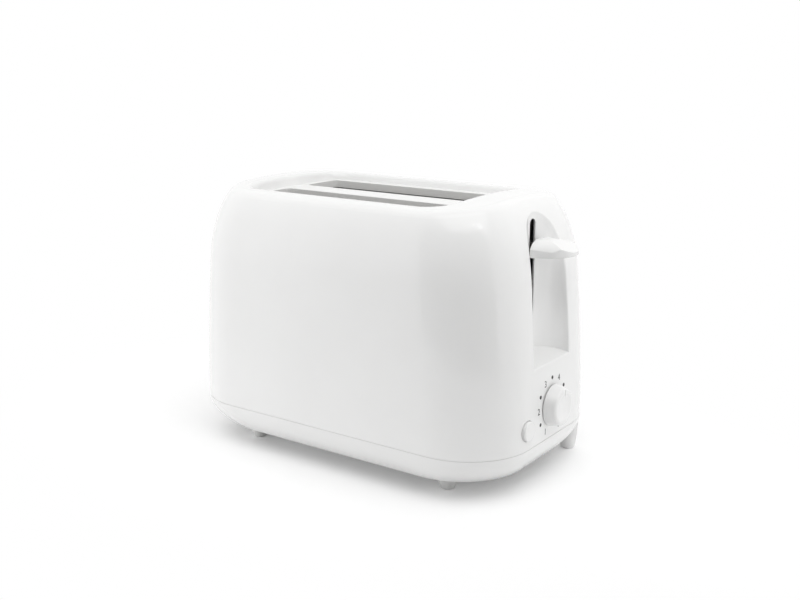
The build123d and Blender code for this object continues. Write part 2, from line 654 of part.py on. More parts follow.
def end_plate(side):
    """A chamber end plate with its openings and its two inward feet; side is +1 or -1 along X."""
    x = sorted((CHAMBER_X + side * PLATE_X, CHAMBER_X + side * PLATE_OUT))
    wide = PLATE_WIDTH / 2
    plate = block(x, (-wide, wide), (PLATE_FOOT_HEIGHT, PLATE_STEP_HEIGHT))
    top = PLATE_TOP_WIDTH / 2
    plate = plate + block(x, (-top, top), (PLATE_STEP_HEIGHT - OVERCUT, DECK_UNDER))
    foot_end = PLATE_X - CHASSIS_SCREW_INSET - CHASSIS_PAD / 2
    foot_x = sorted((CHAMBER_X + side * PLATE_OUT, CHAMBER_X + side * foot_end))
    for foot_y in ((-wide, -wide + PLATE_FOOT_WIDTH), (wide - PLATE_FOOT_WIDTH, wide)):
        plate = plate + block(foot_x, foot_y, (PLATE_FOOT_HEIGHT, PLATE_FOOT_HEIGHT + SHEET))
    through = (x[0] - OVERCUT, x[1] + OVERCUT)
    rack_low = RACK_LOWEST - RACK_FLANGE - RACK_WINDOW_GAP
    rack_high = RACK_TOP + CARRIAGE_LIFT + RACK_WINDOW_GAP
    for slot in (-1, 1):
        reach = (RACK_WIDTH + SHEET) / 2 + SLIDE_GAP
        y = (slot * SLOT_CENTRE - reach, slot * SLOT_CENTRE + reach)
        plate = plate - block(through, y, (rack_low, rack_high))
    for y, _ in guide_places():
        plate = plate - rod_x(through, y, GUIDE_PIVOT_HEIGHT, GUIDE_PIVOT_DIAMETER + 2 * RUNNING_GAP)
    for y in card_places():
        for z in card_tab_heights():
            reach = CARD_THICKNESS / 2 + RUNNING_GAP
            tall = CARD_TAB_HEIGHT / 2 + RUNNING_GAP
            plate = plate - block(through, (y - reach, y + reach), (z - tall, z + tall))
    drill = (PLATE_FOOT_HEIGHT - OVERCUT, PLATE_FOOT_HEIGHT + SHEET + OVERCUT)
    for screw_x, screw_y in chassis_screw_places():
        if (screw_x - CHAMBER_X) * side > 0:
            plate = plate - rod_z(screw_x, screw_y, drill, SCREW_DIAMETER + 2 * SCREW_GAP)
    return plate


def front_plate():
    """The end plate at the lever end, with two lugs that hold the guide rod and the spring."""
    plate = end_plate(1)
    lug_x = (CHAMBER_X + PLATE_X, LUG_REACH)
    wide = ROD_OFFSET + ROD_DIAMETER
    plate = plate + block(lug_x, (-wide, wide), (TOP_LUG, TOP_LUG + LUG_SHEET))
    low = ROD_FOOT + OVERCUT
    plate = plate + block(lug_x, (ROD_OFFSET - ROD_DIAMETER, wide), (low, low + LUG_SHEET))
    bore = (ROD_FOOT - OVERCUT, TOP_LUG + LUG_SHEET + OVERCUT)
    return plate - rod_z(ROD_X, ROD_OFFSET, bore, ROD_DIAMETER + 2 * RUNNING_GAP)


def guide_rod():
    return rod_z(ROD_X, ROD_OFFSET, (ROD_FOOT, TOP_LUG + LUG_SHEET + OVERCUT), ROD_DIAMETER)


def reflector(side):
    y = sorted((side * REFLECTOR_Y, side * (REFLECTOR_Y + SHEET)))
    sheet = block((-PLATE_X, PLATE_X), y, (REFLECTOR_BOTTOM, REFLECTOR_TOP))
    bead_y = sorted((side * REFLECTOR_Y, side * (REFLECTOR_Y + BEAD_DEPTH)))
    hollow_y = sorted((side * (REFLECTOR_Y - OVERCUT), side * (REFLECTOR_Y + BEAD_DEPTH - SHEET)))
    bead_x = PLATE_X - BEAD_END
    hollow_x = bead_x - SHEET
    bead = BEAD_WIDTH / 2
    hollow = bead - SHEET
    for share in (0.25, 0.75):
        z = REFLECTOR_BOTTOM + (REFLECTOR_TOP - REFLECTOR_BOTTOM) * share
        sheet = sheet + block((-bead_x, bead_x), bead_y, (z - bead, z + bead))
        sheet = sheet - block((-hollow_x, hollow_x), hollow_y, (z - hollow, z + hollow))
    return in_chamber(sheet)


def ribbon_levels():
    pitch = (CARD_HEIGHT - 2 * RIBBON_MARGIN) / RIBBON_LOOPS
    return [CARD_BOTTOM + RIBBON_MARGIN + pitch * level for level in range(RIBBON_LOOPS + 1)]


def mica_card(y):
    half = PLATE_X - CARD_EDGE_GAP
    thick = (y - CARD_THICKNESS / 2, y + CARD_THICKNESS / 2)
    card = block((-half, half), thick, (CARD_BOTTOM, CARD_BOTTOM + CARD_HEIGHT))
    for z in card_tab_heights():
        tab_z = (z - CARD_TAB_HEIGHT / 2, z + CARD_TAB_HEIGHT / 2)
        card = card + block((-PLATE_OUT, PLATE_OUT), thick, tab_z)
    deep = (y - CARD_THICKNESS, y + CARD_THICKNESS)
    notches = []
    for z in ribbon_levels():
        tall = (z - NOTCH_HEIGHT / 2, z + NOTCH_HEIGHT / 2)
        notches.append(block((half - NOTCH_DEPTH, half), deep, tall))
        notches.append(block((-half, -half + NOTCH_DEPTH), deep, tall))
    return in_chamber(card - notches)


def heating_ribbon(y, face):
    """A flat ribbon wound round a card; its level runs are on the face that is +1 or -1 along Y."""
    turn = PLATE_X - CARD_EDGE_GAP - NOTCH_DEPTH + NOTCH_SLACK
    levels = ribbon_levels()
    pitch = levels[1] - levels[0]
    shift = face * (CARD_THICKNESS + RIBBON_THICKNESS) / 2
    wrap = CARD_THICKNESS + 2 * RIBBON_THICKNESS
    slope = math.degrees(math.atan2(pitch, 2 * turn))
    slant = math.hypot(pitch, 2 * turn)
    pieces = []
    for z in levels[:-1]:
        pieces.append(Pos(0, y + shift, z) * Box(2 * turn, RIBBON_THICKNESS, RIBBON_WIDTH))
        pieces.append(Pos(turn, y, z) * Box(RIBBON_THICKNESS, wrap, RIBBON_WIDTH))
        middle = Pos(0, y - shift, z + pitch / 2)
        pieces.append(middle * Rot(0, slope, 0) * Box(slant, RIBBON_THICKNESS, RIBBON_WIDTH))
    for z in levels[1:]:
        pieces.append(Pos(-turn, y, z) * Box(RIBBON_THICKNESS, wrap, RIBBON_WIDTH))
    print("heating ribbon, least gap between loops:", round(pitch - RIBBON_WIDTH, 2))
    return in_chamber(pieces[0] + pieces[1:])


def bread_guide(y, side):
    """A wire guide that turns on its lower bar; side is the way its top flares."""
    reach = PLATE_OUT + SHEET
    guide = rod_x((-reach, reach), y, GUIDE_PIVOT_HEIGHT, GUIDE_PIVOT_DIAMETER)
    span = SLOT_LENGTH / 2 - GUIDE_END
    bar = span + GUIDE_BAR_OVERHANG
    guide = guide + rod_x((-bar, bar), y + side * GUIDE_FLARE, GUIDE_TOP, GUIDE_PIVOT_DIAMETER)
    wires = []
    for number in range(GUIDE_WIRES):
        x = -span + 2 * span * number / (GUIDE_WIRES - 1)
        points = [
            (x, y, GUIDE_PIVOT_HEIGHT),
            (x, y, GUIDE_TOP - GUIDE_FLARE_HEIGHT),
            (x, y + side * GUIDE_FLARE, GUIDE_TOP),
        ]
        path = FilletPolyline(*points, radius=GUIDE_BEND)
        wires.append(sweep(Plane(origin=points[0]) * Circle(GUIDE_WIRE_DIAMETER / 2), path=path))
    return in_chamber(guide + wires)


def bread_rack(side):
    y = side * SLOT_CENTRE
    x = (-PLATE_OUT - RACK_TAIL, BRACKET_X - CHAMBER_X)
    half = RACK_WIDTH / 2
    rack = block(x, (y - half, y + half), (RACK_TOP - RACK_FLANGE, RACK_TOP))
    hollow = (RACK_TOP - RACK_FLANGE - OVERCUT, RACK_TOP - SHEET)
    rack = rack - block((x[0] - OVERCUT, x[1] - SHEET), (y - half + SHEET, y + half - SHEET), hollow)
    holes = []
    for number in range(-3, 4):
        oval = Pos(number * SLOT_LENGTH / 8, y, RACK_TOP - 2 * SHEET) * SlotOverall(*RACK_HOLE)
        holes.append(extrude(oval, 4 * SHEET))
    return in_chamber(rack - holes)


def carriage_bracket():
    x = (BRACKET_X, BRACKET_FACE)
    low_y = (magnet_span()[0], SLOT_CENTRE + RACK_WIDTH)
    plate = block(x, low_y, (BRACKET_LOW, BRACKET_SHOULDER))
    strip = ROD_OFFSET + ROD_DIAMETER
    plate = plate + block(x, (-strip, strip), (BRACKET_SHOULDER - OVERCUT, BRACKET_TOP))
    reach = SPRING_DIAMETER / 2 + SPRING_TAB_MARGIN
    tab_z = (SPRING_FOOT - BRACKET_SHEET, SPRING_FOOT)
    plate = plate + block((BRACKET_X, ROD_X + reach), (-ROD_OFFSET - reach, -ROD_OFFSET + reach), tab_z)
    half = TONGUE_THICKNESS / 2
    tall = TONGUE_HEIGHT / 2
    tongue_x = (BRACKET_X, LEVER_ROOT + TONGUE_BITE)
    tongue = block(tongue_x, (-half, half), (LEVER_HEIGHT - tall, LEVER_HEIGHT + tall))
    return plate + tongue


def slider_block():
    low = SLIDER_LOW
    high = SLIDER_LOW + SLIDER_LENGTH
    outer = ROD_DIAMETER + 2 * SLIDER_WALL
    y = (ROD_OFFSET - outer / 2, ROD_OFFSET + outer / 2)
    slider = rod_z(ROD_X, ROD_OFFSET, (low, high), outer) + block((BRACKET_FACE, ROD_X), y, (low, high))
    bore = (low - OVERCUT, high + OVERCUT)
    return slider - rod_z(ROD_X, ROD_OFFSET, bore, ROD_DIAMETER + 2 * RUNNING_GAP)


def magnet_span():
    return (-MAGNET_OFFSET - MAGNET_WIDTH / 2, -MAGNET_OFFSET + MAGNET_WIDTH / 2)


def magnet_core():
    x = (MAGNET_X - MAGNET_DEPTH / 2, MAGNET_X + MAGNET_DEPTH / 2)
    low = MAGNET_TOP - MAGNET_HEIGHT
    core = block(x, magnet_span(), (low, MAGNET_TOP))
    for side in (-1, 1):
        near = MAGNET_POLE / 2
        far = MAGNET_WIDTH / 2 - MAGNET_LEG
        y = sorted((-MAGNET_OFFSET + side * near, -MAGNET_OFFSET + side * far))
        core = core - block((x[0] - OVERCUT, x[1] + OVERCUT), y, (low + MAGNET_YOKE, MAGNET_TOP + OVERCUT))
    return core


def magnet_coil():
    deep = MAGNET_DEPTH / 2 + COIL_OVERHANG
    wide = MAGNET_WIDTH / 2 - MAGNET_LEG - COIL_MARGIN
    low = MAGNET_TOP - MAGNET_HEIGHT + MAGNET_YOKE + COIL_MARGIN
    high = MAGNET_TOP - COIL_BELOW_POLE
    y = (-MAGNET_OFFSET - wide, -MAGNET_OFFSET + wide)
    coil = block((MAGNET_X - deep, MAGNET_X + deep), y, (low, high))
    hole = MAGNET_POLE / 2 + COIL_MARGIN
    hole_x = (MAGNET_X - MAGNET_DEPTH / 2 - COIL_MARGIN, MAGNET_X + MAGNET_DEPTH / 2 + COIL_MARGIN)
    hole_z = (low - OVERCUT, high + OVERCUT)
    return coil - block(hole_x, (-MAGNET_OFFSET - hole, -MAGNET_OFFSET + hole), hole_z)


def keeper_plate():
    x = (BRACKET_FACE, MAGNET_X + MAGNET_DEPTH / 2)
    return block(x, magnet_span(), (KEEPER_LOW, KEEPER_LOW + KEEPER_THICKNESS))


def contact_pusher():
    reach = (LEAF_SPACING + LEAF_WIDTH) / 2 + CONTACT_MARGIN / 2
    y = (LEAF_OFFSET - reach, LEAF_OFFSET + reach)
    return block((BRACKET_FACE, BOARD_BACK - PUSHER_BACK), y, (PUSHER_LOW, PUSHER_LOW + PUSHER_THICKNESS))


def contact_block():
    reach = (LEAF_SPACING + LEAF_WIDTH) / 2 + CONTACT_MARGIN
    top = LEAF_HEIGHT - CONTACT_BLOCK_BELOW
    y = (LEAF_OFFSET - reach, LEAF_OFFSET + reach)
    return block((BOARD_BACK - CONTACT_BLOCK_DEPTH, BOARD_BACK), y, (top - CONTACT_BLOCK_HEIGHT, top))


def contact_leaves():
    leaves = []
    stand = BOARD_BACK - CONTACT_BLOCK_DEPTH
    for side in (-1, 1):
        middle = LEAF_OFFSET + side * LEAF_SPACING / 2
        y = (middle - LEAF_WIDTH / 2, middle + LEAF_WIDTH / 2)
        upright = block((stand - LEAF_THICKNESS, stand), y, (LEAF_HEIGHT - LEAF_FOOT, LEAF_HEIGHT))
        arm = block((stand - LEAF_ARM, stand), y, (LEAF_HEIGHT - LEAF_THICKNESS, LEAF_HEIGHT))
        leaves.append(upright + arm)
    return leaves


def control_board():
    board = block((BOARD_BACK, BOARD_FRONT), (-BOARD_NEAR, BOARD_FAR), (BOARD_LOW, BOARD_HIGH))
    through = (BOARD_BACK - OVERCUT, BOARD_FRONT + OVERCUT)
    for y, z in board_screw_places():
        board = board - rod_x(through, y, z, SCREW_DIAMETER + 2 * SCREW_GAP)
    return board


def potentiometer():
    half = POT_SIZE / 2
    x = (BOARD_FRONT, BOARD_FRONT + POT_DEPTH)
    case = block(x, (-half, half), (KNOB_HEIGHT - half, KNOB_HEIGHT + half))
    neck = SHAFT_DIAMETER + 2 * POT_NECK_WALL
    neck_end = HALF_LENGTH - WALL - wall_inset(KNOB_HEIGHT + neck) - SEAT_GAP
    case = case + rod_x((x[1] - OVERCUT, neck_end), 0, KNOB_HEIGHT, neck)
    well = (BOARD_FRONT + POT_FLOOR, HALF_LENGTH)
    return case - rod_x(well, 0, KNOB_HEIGHT, SHAFT_DIAMETER + 2 * RUNNING_GAP)


def knob_back():
    """Where the knob's back lies, clear of the leaning wall at the knob's lower edge."""
    return end_wall(KNOB_HEIGHT - KNOB_DIAMETER / 2, 0.0, 0.0) + KNOB_GAP


def dial_shaft():
    end = knob_back() + KNOB_DEPTH - SHAFT_END_WALL
    return rod_x((BOARD_FRONT + POT_FLOOR + SLIDE_GAP, end), 0, KNOB_HEIGHT, SHAFT_DIAMETER)


def browning_knob():
    back = knob_back()
    front = back + KNOB_DEPTH
    knob = Cone(KNOB_DIAMETER / 2, KNOB_FACE_DIAMETER / 2, KNOB_DEPTH)
    knob = fillet(knob.edges().sort_by(Axis.Z)[-1], KNOB_EDGE)
    knob = Pos(back + KNOB_DEPTH / 2, 0, KNOB_HEIGHT) * Rot(0, 90, 0) * knob
    half = KNOB_DISH_DIAMETER / 2
    bowl = (half ** 2 + KNOB_DISH ** 2) / (2 * KNOB_DISH)
    knob = knob - Pos(front + bowl - KNOB_DISH, 0, KNOB_HEIGHT) * Sphere(bowl)
    hollow = (back - OVERCUT, front - KNOB_FACE_WALL)
    cavity = rod_x(hollow, 0, KNOB_HEIGHT, KNOB_FACE_DIAMETER - 2 * KNOB_WALL)
    knob = knob - (cavity - rod_x(hollow, 0, KNOB_HEIGHT, SHAFT_DIAMETER + 2 * KNOB_HUB_WALL))
    bore = (back - OVERCUT, front - SHAFT_END_WALL)
    knob = knob - rod_x(bore, 0, KNOB_HEIGHT, SHAFT_DIAMETER + 2 * RUNNING_GAP)
    mark_x = (front - POINTER_DEPTH, front + OVERCUT)
    mark_z = (KNOB_HEIGHT + KNOB_DISH_DIAMETER / 4, KNOB_HEIGHT + KNOB_DIAMETER / 2)
    return knob - block(mark_x, (-POINTER_WIDTH / 2, POINTER_WIDTH / 2), mark_z)


def end_wall(height, reach, inset):
    """How far out the end wall stands at a height and a distance from its middle, less an inset."""
    lean, turn = body_turn(height)
    radius = CORNER_RADIUS - SHOULDER_CORNER * turn
    straight = HALF_WIDTH - SIDE_LEAN * lean - SHOULDER_WIDTH * turn - radius
    past = max(0.0, reach - straight)
    return HALF_LENGTH - wall_inset(height) - radius + math.sqrt((radius - inset) ** 2 - past ** 2)


def cancel_button():
    front = end_wall(BUTTON_HEIGHT, BUTTON_OFFSET, 0.0) + BUTTON_STAND
    flange_radius = BUTTON_DIAMETER / 2 + BUTTON_FLANGE_RIM
    seat = end_wall(BUTTON_HEIGHT + flange_radius, BUTTON_OFFSET + flange_radius, WALL)
    flange_front = seat - 2 * SLIDE_GAP
    cap = rod_x((flange_front - OVERCUT, front), -BUTTON_OFFSET, BUTTON_HEIGHT, BUTTON_DIAMETER)
    cap = fillet(cap.edges().sort_by(Axis.X)[-1], BUTTON_DOME)
    flange_x = (flange_front - BUTTON_FLANGE, flange_front)
    flange = rod_x(flange_x, -BUTTON_OFFSET, BUTTON_HEIGHT, 2 * flange_radius)
    stem_x = (BOARD_FRONT + SWITCH_DEPTH - OVERCUT, flange_front - BUTTON_FLANGE / 2)
    return cap + flange + rod_x(stem_x, -BUTTON_OFFSET, BUTTON_HEIGHT, BUTTON_STEM)


def cancel_switch():
    half = SWITCH_SIZE / 2
    y = (-BUTTON_OFFSET - half, -BUTTON_OFFSET + half)
    face = BOARD_FRONT + SWITCH_DEPTH
    case = block((BOARD_FRONT, face), y, (BUTTON_HEIGHT - half, BUTTON_HEIGHT + half))
    well = (face - OVERCUT - BUTTON_TRAVEL - SLIDE_GAP, face + OVERCUT)
    return case - rod_x(well, -BUTTON_OFFSET, BUTTON_HEIGHT, BUTTON_STEM + 2 * SLIDE_GAP)


def lever_knob():
    """The paddle: a wedge seen from the side, round nosed from above and crowned across."""
    root_low = (LEVER_ROOT, LEVER_HEIGHT - LEVER_ROOT_DOWN)
    root_high = (LEVER_ROOT, LEVER_HEIGHT + LEVER_ROOT_UP)
    tip_low = (LEVER_TIP, LEVER_HEIGHT - LEVER_TIP_DOWN)
    tip_high = (LEVER_TIP, LEVER_HEIGHT + LEVER_TIP_UP)
    rise = (LEVER_ROOT_UP + LEVER_TIP_UP) / 2 + LEVER_BULGE
    middle = ((LEVER_ROOT + LEVER_TIP) / 2, LEVER_HEIGHT + rise)
    edges = [
        Line(root_low, root_high),
        ThreePointArc(root_high, middle, tip_high),
        Line(tip_high, tip_low),
        Line(tip_low, root_low),
    ]
    wedge = extrude(Plane.XZ * make_face(edges), LEVER_WIDTH, both=True)
    half = LEVER_WIDTH / 2
    straight = LEVER_TIP - LEVER_NOSE
    plan = Pos((LEVER_ROOT + straight) / 2, 0) * Rectangle(straight - LEVER_ROOT, LEVER_WIDTH)
    plan = plan + Pos(straight, 0) * Ellipse(LEVER_NOSE, half)
    crown = Ellipse(half + LEVER_CROWN_MARGIN, LEVER_CROWN_HEIGHT)
    crown = crown + Pos(0, -LEVER_CROWN_HEIGHT) * Rectangle(2 * LEVER_WIDTH, 2 * LEVER_CROWN_HEIGHT)
    start = (LEVER_ROOT - OVERCUT, 0, LEVER_HEIGHT - LEVER_CROWN_FOOT)
    plane = Plane(origin=start, x_dir=(0, 1, 0), z_dir=(1, 0, 0))
    knob = wedge & extrude(plan, BODY_HEIGHT) & extrude(plane * crown, LEVER_LENGTH + 2 * OVERCUT)
    knob = fillet(knob.edges(), LEVER_EDGE)
    pocket_half = TONGUE_THICKNESS / 2 + RUNNING_GAP
    pocket_tall = TONGUE_HEIGHT / 2 + RUNNING_GAP
    pocket_x = (LEVER_ROOT - OVERCUT, LEVER_ROOT + TONGUE_BITE + RUNNING_GAP)
    pocket_z = (LEVER_HEIGHT - pocket_tall, LEVER_HEIGHT + pocket_tall)
    return knob - block(pocket_x, (-pocket_half, pocket_half), pocket_z)


def unit(vector):
    return vector * (1.0 / vector.length)


def biarc(start, start_way, end, end_way):
    """Two arcs that leave start and reach end along the given ways."""
    chord = end - start
    both = start_way + end_way
    a = 2.0 * (start_way.dot(end_way) - 1.0)
    b = -2.0 * chord.dot(both)
    c = chord.dot(chord)
    root = math.sqrt(b * b - 4.0 * a * c)
    reach = (-b - root) / (2.0 * a)
    first = start + start_way * reach
    second = end - end_way * reach
    middle = (first + second) * 0.5
    way = unit(second - first)
    return [TangentArc(start, middle, tangent=start_way), TangentArc(middle, end, tangent=way)]


def spring_point(share):
    """A point on the spring's turns and the way the wire runs there; share goes from 0 to 1."""
    low = SPRING_FOOT + SPRING_LEG + SPRING_BEND
    high = TOP_LUG - SPRING_LEG - SPRING_BEND
    radius = (SPRING_DIAMETER - SPRING_WIRE) / 2
    angle = 2 * math.pi * SPRING_TURNS * share
    point = Vector(
        ROD_X + radius * math.cos(angle),
        -ROD_OFFSET + radius * math.sin(angle),
        low + (high - low) * share,
    )
    rise = (high - low) / (2 * math.pi * SPRING_TURNS)
    return point, unit(Vector(-radius * math.sin(angle), radius * math.cos(angle), rise))


def lift_spring():
    up = Vector(0, 0, 1)
    halves = 2 * SPRING_TURNS
    first, first_way = spring_point(0.0)
    last, last_way = spring_point(1.0)
    flat = unit(first_way - up * first_way.dot(up))
    angle = math.acos(first_way.dot(up))
    lead = first - (flat * (1 - math.cos(angle)) + up * math.sin(angle)) * SPRING_BEND
    edges = [Line((lead.X, lead.Y, SPRING_FOOT), lead), TangentArc(lead, first, tangent=up)]
    for number in range(halves):
        start, start_way = spring_point(number / halves)
        end, end_way = spring_point((number + 1) / halves)
        edges += biarc(start, start_way, end, end_way)
    side = unit(up - last_way * last_way.dot(up))
    tail = last + (side * (1 - math.cos(angle)) + last_way * math.sin(angle)) * SPRING_BEND
    edges += [TangentArc(last, tail, tangent=last_way), Line(tail, (tail.X, tail.Y, TOP_LUG))]
    pitch = (spring_point(1.0)[0] - spring_point(0.0)[0]).Z / SPRING_TURNS
    print("lift spring, least gap between turns:", round(pitch - SPRING_WIRE, 2))
    section = Plane(origin=(lead.X, lead.Y, SPRING_FOOT)) * RegularPolygon(SPRING_WIRE / 2, 8)
    return sweep(section, path=Wire(edges))


def crumb_tray():
    x = (-TRAY_HANDLE_BACK, TRAY_INNER_END)
    y = (-TRAY_HALF_WIDTH, TRAY_HALF_WIDTH)
    low = FLOOR_TOP + SEAT_GAP
    pan = block(x, y, (low, low + TRAY_DEPTH))
    inner_x = (x[0] + SHEET, x[1] - SHEET)
    inner_y = (y[0] + SHEET, y[1] - SHEET)
    return pan - block(inner_x, inner_y, (low + SHEET, low + TRAY_DEPTH + OVERCUT))


def tray_handle():
    handle = base_form(0.0) & tray_mouth(0.0)
    core_x = (-TRAY_HANDLE_BACK - TRAY_HANDLE_CORE, -TRAY_HANDLE_BACK + OVERCUT)
    core_y = (-TRAY_HALF_WIDTH + TRAY_HANDLE_WALL, TRAY_HALF_WIDTH - TRAY_HANDLE_WALL)
    core_z = (TRAY_HANDLE_LOW + TRAY_HANDLE_WALL, TRAY_HANDLE_HIGH - TRAY_HANDLE_WALL)
    handle = handle - block(core_x, core_y, core_z)
    place = Pos(-HALF_LENGTH + TRAY_GRIP_SINK, 0, TRAY_HANDLE_LOW + TRAY_GRIP_RISE)
    return handle - place * Rot(90, 0, 0) * Cylinder(TRAY_GRIP_RADIUS, TRAY_GRIP_WIDTH)


def screw(length):
    """A cross head screw along Z with its seat under the head at zero."""
    shape = Pos(0, 0, -SCREW_HEAD_HEIGHT / 2) * Cylinder(SCREW_HEAD / 2, SCREW_HEAD_HEIGHT)
    shape = shape + Pos(0, 0, length / 2) * Cylinder(SCREW_DIAMETER / 2, length)
    slit = Box(*SCREW_CROSS, SCREW_HEAD_HEIGHT)
    for turn in (0, 90):
        shape = shape - Pos(0, 0, -SCREW_HEAD_HEIGHT) * Rot(0, 0, turn) * slit
    return shape


def base_screws():
    seat = BASE_UNDERSIDE + SCREW_HEAD_HEIGHT
    return [Pos(x, y, seat) * screw(SEAM_HEIGHT + SCREW_BITE - seat) for x, y in base_screw_places()]


def chassis_screws():
    seat = BASE_UNDERSIDE + SCREW_HEAD_HEIGHT
    length = PLATE_FOOT_HEIGHT + SHEET + PLATE_SCREW_BITE - seat
    return [Pos(x, y, seat) * screw(length) for x, y in chassis_screw_places()]


def board_screws():
    turned = Rot(0, 90, 0) * screw(BOARD_THICKNESS + BOARD_SCREW_BITE)
    return [Pos(BOARD_BACK, y, z) * turned for y, z in board_screw_places()]


def pieces():
    """Every node's name with its shape, or with a list of shapes for a group."""
    guides = [bread_guide(y, side) for y, side in guide_places()]
    cards = [mica_card(y) for y in card_places()]
    ribbons = [heating_ribbon(y, face) for y, face in zip(card_places(), (1, 1, -1))]
    return {
        "outer_shell": outer_shell(),
        "base": base(),
        "front_feet": front_feet(),
        "cord_gland": cord_gland(),
        "slot_deck": slot_deck(),
        "front_plate": front_plate(),
        "rear_plate": end_plate(-1),
        "near_reflector": reflector(-1),
        "far_reflector": reflector(1),
        "near_mica_card": cards[0],
        "centre_mica_card": cards[1],
        "far_mica_card": cards[2],
        "near_heating_ribbon": ribbons[0],
        "centre_heating_ribbon": ribbons[1],
        "far_heating_ribbon": ribbons[2],
        "near_outer_guide": guides[0],
        "near_inner_guide": guides[1],
        "far_inner_guide": guides[2],
        "far_outer_guide": guides[3],
        "guide_rod": guide_rod(),
        "lift_spring": lift_spring(),
        "carriage_bracket": carriage_bracket(),
        "slider_block": slider_block(),
        "near_bread_rack": bread_rack(-1),
        "far_bread_rack": bread_rack(1),
        "keeper_plate": keeper_plate(),
        "contact_pusher": contact_pusher(),
        "lever_knob": lever_knob(),
        "magnet_core": magnet_core(),
        "magnet_coil": magnet_coil(),
        "control_board": control_board(),
        "potentiometer": potentiometer(),
        "cancel_switch": cancel_switch(),
        "contact_block": contact_block(),
        "contact_leaves": contact_leaves(),
        "dial_shaft": dial_shaft(),
        "browning_knob": browning_knob(),
        "cancel_button": cancel_button(),
        "crumb_tray": crumb_tray(),
        "tray_handle": tray_handle(),
        "base_screws": base_screws(),
        "chassis_screws": chassis_screws(),
        "board_screws": board_screws(),
    }


def write_all():
    os.makedirs("parts", exist_ok=True)
    for name, shape in pieces().items():
        group = shape if isinstance(shape, list) else [shape]
        moved = [Pos(ORIGIN_SHIFT, 0, 0) * item for item in group]
        solids = [solid for item in moved for solid in item.solids()]
        node = Compound(children=solids) if len(solids) > 1 else solids[0]
        node.label = name
        export_step(node, os.path.join("parts", name + ".step"))
        print(name, len(solids), round(node.volume, 1))


write_all()
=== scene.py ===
"""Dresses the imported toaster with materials, dial marks, a round-wire lift spring, light and a camera."""

import json
import math

import bmesh
import bpy
from mathutils import Matrix, Vector


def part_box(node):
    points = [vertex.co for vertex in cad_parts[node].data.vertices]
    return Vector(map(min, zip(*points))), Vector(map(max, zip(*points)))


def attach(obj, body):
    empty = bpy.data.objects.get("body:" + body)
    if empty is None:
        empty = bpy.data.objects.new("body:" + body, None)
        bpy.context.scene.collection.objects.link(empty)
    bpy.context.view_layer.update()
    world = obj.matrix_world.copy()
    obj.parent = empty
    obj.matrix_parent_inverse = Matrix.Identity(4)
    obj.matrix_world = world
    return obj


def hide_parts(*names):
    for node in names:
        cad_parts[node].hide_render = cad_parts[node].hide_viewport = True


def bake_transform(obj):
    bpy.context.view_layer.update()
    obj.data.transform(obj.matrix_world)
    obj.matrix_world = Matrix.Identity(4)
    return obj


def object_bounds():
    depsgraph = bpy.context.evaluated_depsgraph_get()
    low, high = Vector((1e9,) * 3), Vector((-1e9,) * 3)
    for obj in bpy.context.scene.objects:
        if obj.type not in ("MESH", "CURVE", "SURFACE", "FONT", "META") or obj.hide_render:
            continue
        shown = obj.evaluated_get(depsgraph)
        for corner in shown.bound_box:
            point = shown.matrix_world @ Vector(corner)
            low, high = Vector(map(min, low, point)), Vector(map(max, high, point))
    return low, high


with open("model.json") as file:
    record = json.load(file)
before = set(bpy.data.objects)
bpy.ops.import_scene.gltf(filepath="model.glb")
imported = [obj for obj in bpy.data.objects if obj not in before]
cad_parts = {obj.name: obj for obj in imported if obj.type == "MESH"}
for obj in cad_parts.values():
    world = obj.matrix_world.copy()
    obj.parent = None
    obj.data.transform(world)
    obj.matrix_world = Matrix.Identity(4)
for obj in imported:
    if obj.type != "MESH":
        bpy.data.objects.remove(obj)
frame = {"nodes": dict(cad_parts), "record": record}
CAD_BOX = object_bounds()
NODES = frame["nodes"]

X_AXIS = Vector((1.0, 0.0, 0.0))
Y_AXIS = Vector((0.0, 1.0, 0.0))
Z_AXIS = Vector((0.0, 0.0, 1.0))
WHITE = (1.0, 1.0, 1.0, 1.0)

# Camera, fitted to the outline of the toaster in the photo
CAMERA_PLACE = Vector((0.4063, -0.5726, 0.2742))
CAMERA_AZIMUTH = 35.18
CAMERA_PITCH = 13.9
CAMERA_LENS = 48.35
CAMERA_SENSOR = 36.0

# Tones of the materials, each as the two that its patches lie between
SHELL_WHITE = ((0.845, 0.845, 0.84), (0.865, 0.865, 0.86))
CONTROL_WHITE = ((0.85, 0.85, 0.845), (0.87, 0.87, 0.865))
DECK_WHITE = ((0.83, 0.83, 0.82), (0.85, 0.85, 0.84))
CHASSIS_GREY = ((0.46, 0.46, 0.45), (0.60, 0.60, 0.59))
WIRE_GREY = ((0.55, 0.55, 0.54), (0.66, 0.66, 0.65))
SPRING_GREY = ((0.40, 0.40, 0.41), (0.52, 0.52, 0.53))
MICA_TAN = ((0.42, 0.37, 0.28), (0.66, 0.60, 0.49))
NICHROME_BROWN = ((0.16, 0.14, 0.13), (0.42, 0.38, 0.34))
NYLON_BLACK = ((0.022, 0.022, 0.024), (0.045, 0.045, 0.048))
IRON_GREY = ((0.20, 0.20, 0.21), (0.32, 0.32, 0.33))
COPPER_RED = ((0.30, 0.11, 0.04), (0.70, 0.33, 0.15))
BOARD_BROWN = ((0.30, 0.19, 0.07), (0.26, 0.16, 0.06))
TRACK_BROWN = (0.44, 0.31, 0.13)
BRASS_YELLOW = ((0.62, 0.44, 0.17), (0.74, 0.55, 0.25))
TRAY_GREY = ((0.62, 0.62, 0.62), (0.74, 0.74, 0.74))
FOOT_GREY = ((0.68, 0.68, 0.67), (0.76, 0.76, 0.75))
GLAND_GREY = ((0.60, 0.60, 0.59), (0.68, 0.68, 0.67))
SCREW_GREY = ((0.45, 0.45, 0.45), (0.58, 0.58, 0.58))
